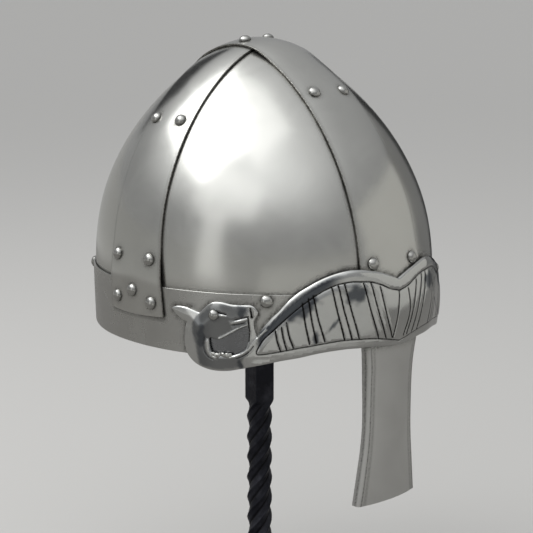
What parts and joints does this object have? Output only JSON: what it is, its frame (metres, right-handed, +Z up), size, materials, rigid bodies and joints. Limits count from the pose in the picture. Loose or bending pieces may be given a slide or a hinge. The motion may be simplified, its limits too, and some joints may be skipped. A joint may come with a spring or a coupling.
{
  "type": "spangenhelm helmet on stand",
  "caption": "Conical riveted steel helmet with a brow band, crossing strips, an engraved eyebrow plate ending in beast heads and a nasal, on a twisted iron bar stand.",
  "frame": {"origin": "centre of the underside of the stand base, under the crown of the helmet", "axes": "+Z up the stand, +X to the wearer left, the face looks along -Y"},
  "size_m": [0.2208, 0.2371, 0.405],
  "materials": {
    "plate_steel": "polished mild steel, faint grinding marks",
    "band_steel": "polished mild steel",
    "strip_steel": "polished mild steel, bright filed edges",
    "brow_steel": "mirror polished steel, engraved lines darkened",
    "nasal_steel": "satin steel",
    "rivet_steel": "polished domed heads",
    "black_iron": "blackened wrought iron, satin"
  },
  "bodies": {
    "root": {"infill_plate_front_right": "plate_steel", "infill_plate_front_left": "plate_steel", "infill_plate_rear_right": "plate_steel", "infill_plate_rear_left": "plate_steel", "brow_band": "band_steel", "side_strip_right": "strip_steel", "side_strip_left": "strip_steel", "long_strip": "strip_steel", "brow_plate": "brow_steel", "nasal": "nasal_steel", "rivet_front_right_top": "rivet_steel", "rivet_front_right_upper": "rivet_steel", "rivet_front_right_band": "rivet_steel", "rivet_front_left_top": "rivet_steel", "rivet_front_left_upper": "rivet_steel", "rivet_front_left_band": "rivet_steel", "rivet_rear_right_top": "rivet_steel", "rivet_rear_right_upper": "rivet_steel", "rivet_rear_right_lower": "rivet_steel", "rivet_rear_right_band": "rivet_steel", "rivet_rear_left_top": "rivet_steel", "rivet_rear_left_upper": "rivet_steel", "rivet_rear_left_lower": "rivet_steel", "rivet_rear_left_band": "rivet_steel", "rivet_rear_middle": "rivet_steel", "rivet_right_frontward_top": "rivet_steel", "rivet_right_frontward_upper": "rivet_steel", "rivet_right_frontward_lower": "rivet_steel", "rivet_right_rearward_top": "rivet_steel", "rivet_right_rearward_upper": "rivet_steel", "rivet_right_rearward_lower": "rivet_steel", "rivet_right_middle": "rivet_steel", "rivet_right_beast_eye": "rivet_steel", "rivet_left_frontward_top": "rivet_steel", "rivet_left_frontward_upper": "rivet_steel", "rivet_left_frontward_lower": "rivet_steel", "rivet_left_rearward_top": "rivet_steel", "rivet_left_rearward_upper": "rivet_steel", "rivet_left_rearward_lower": "rivet_steel", "rivet_left_middle": "rivet_steel", "rivet_left_beast_eye": "rivet_steel", "rivet_crown_right": "rivet_steel", "rivet_crown_left": "rivet_steel", "stand_base": "black_iron", "stand_bar": "black_iron", "stand_head": "black_iron"}
  },
  "joints": []
}
